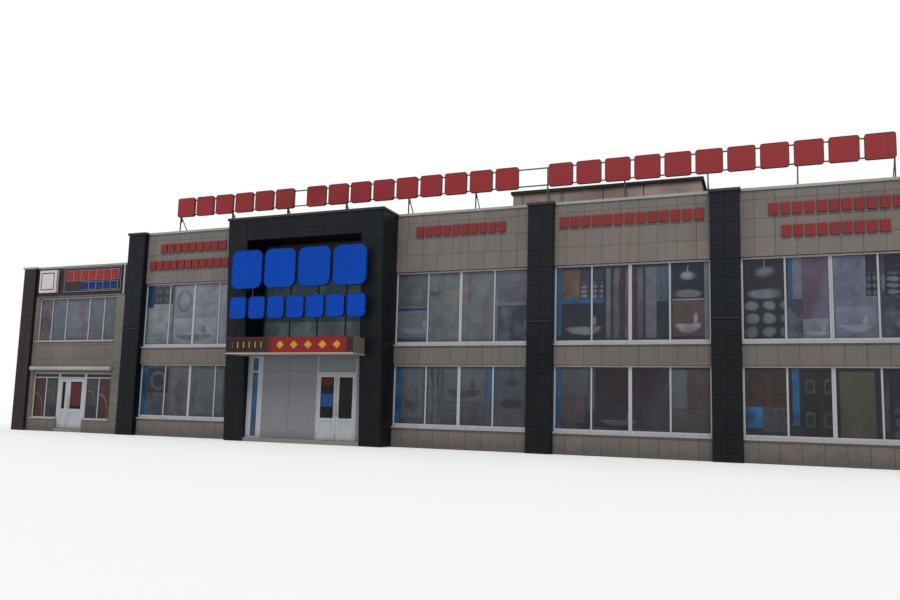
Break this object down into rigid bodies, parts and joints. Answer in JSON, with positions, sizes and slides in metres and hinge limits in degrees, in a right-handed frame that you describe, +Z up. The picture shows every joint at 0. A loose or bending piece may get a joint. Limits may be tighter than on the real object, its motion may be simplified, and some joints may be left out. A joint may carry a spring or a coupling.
{
  "type": "supermarket building",
  "caption": "Two-storey retail building with tile cladding, slate pilasters, an entrance portal with canopy, a lower shop wing, hinged glazed doors and blank sign boxes.",
  "frame": {"origin": "middle of the plan on the underside of the ground slab, at ground level", "axes": "+X along the street front to the right seen from the street, +Y from the street into the building, +Z up"},
  "size_m": [37.01, 13.994, 10.07],
  "materials": {
    "concrete": "rough",
    "roofing": "rough",
    "plaster": "matt",
    "beige_tile": "matt",
    "slate_tile": "satin",
    "cap_metal": "satin",
    "white_frame": "satin",
    "window_glass": "clear",
    "dark_frame": "satin",
    "tinted_glass": "tinted",
    "canopy_panel": "matt",
    "white_trim": "satin",
    "banner_print": "printed",
    "film_glass": "printed film",
    "white_panel": "satin",
    "door_glass": "clear",
    "pull_steel": "brushed",
    "plum_tile": "satin",
    "sign_steel": "matt",
    "red_sign": "gloss",
    "blue_sign": "gloss",
    "dark_board": "matt"
  },
  "bodies": {
    "house": {"ground_slabs": "concrete", "upper_floor_slabs": "concrete", "doorway_floors": "concrete", "roof_slabs": "roofing", "left_party_wall": "plaster", "middle_wall": "plaster", "right_end_wall": "beige_tile", "front_wall_bands": "beige_tile", "pilasters": "slate_tile", "pilaster_ledges": "cap_metal", "back_piers": "slate_tile", "back_wall_bands": "beige_tile", "back_window_frames": "white_frame", "back_window_glass": "window_glass", "portal_piers": "slate_tile", "portal_header": "slate_tile", "portal_recess_wall": "beige_tile", "portal_window_frame": "dark_frame", "portal_glass": "tinted_glass", "canopy": "canopy_panel", "canopy_trim": "white_trim", "canopy_banner": "banner_print", "front_window_frames": "white_frame", "front_window_glass": "film_glass", "window_sills": "white_trim", "door_posts": "white_frame", "door_heads": "white_frame", "entrance_side_frame": "white_frame", "entrance_panels": "white_panel", "wing_pilaster": "plum_tile", "wing_jambs": "beige_tile", "wing_wall_bands": "beige_tile", "wing_window_frame": "white_frame", "wing_shop_frames": "white_frame", "wing_glass": "film_glass", "wing_shutter_box": "white_trim", "coping_runs": "cap_metal", "coping_heads": "cap_metal", "roof_sign_rails": "sign_steel", "roof_sign_posts": "sign_steel", "roof_sign_braces": "sign_steel", "roof_sign_boxes": "red_sign", "portal_sign_frame": "sign_steel", "portal_sign_blocks": "blue_sign", "wall_sign_blocks": "red_sign", "wing_sign_band": "dark_board", "wing_sign_boxes": "white_panel"},
    "entrance_leaf_left": {"entrance_leaf_left": "white_frame", "entrance_leaf_left_glass": "door_glass", "entrance_leaf_left_pulls": "pull_steel"},
    "entrance_leaf_right": {"entrance_leaf_right": "white_frame", "entrance_leaf_right_glass": "door_glass", "entrance_leaf_right_pulls": "pull_steel"},
    "wing_leaf": {"wing_leaf": "white_frame", "wing_leaf_glass": "door_glass", "wing_leaf_pulls": "pull_steel"},
    "wing_narrow_leaf": {"wing_narrow_leaf": "white_frame", "wing_narrow_leaf_glass": "door_glass"}
  },
  "joints": [
    {"name": "entrance_left_hinge", "type": "hinge", "parent": "house", "child": "entrance_leaf_left", "pos_m": [-2.282, -6.704, 1.35], "axis": [0, 0, -1], "range_deg": [0, 90]},
    {"name": "entrance_right_hinge", "type": "hinge", "parent": "house", "child": "entrance_leaf_right", "pos_m": [-0.728, -6.704, 1.35], "axis": [0, 0, 1], "range_deg": [0, 90]},
    {"name": "wing_leaf_hinge", "type": "hinge", "parent": "house", "child": "wing_leaf", "pos_m": [-14.543, -5.914, 1.35], "axis": [0, 0, 1], "range_deg": [0, 90]},
    {"name": "wing_narrow_hinge", "type": "hinge", "parent": "house", "child": "wing_narrow_leaf", "pos_m": [-15.977, -5.914, 1.35], "axis": [0, 0, -1], "range_deg": [0, 90]}
  ]
}
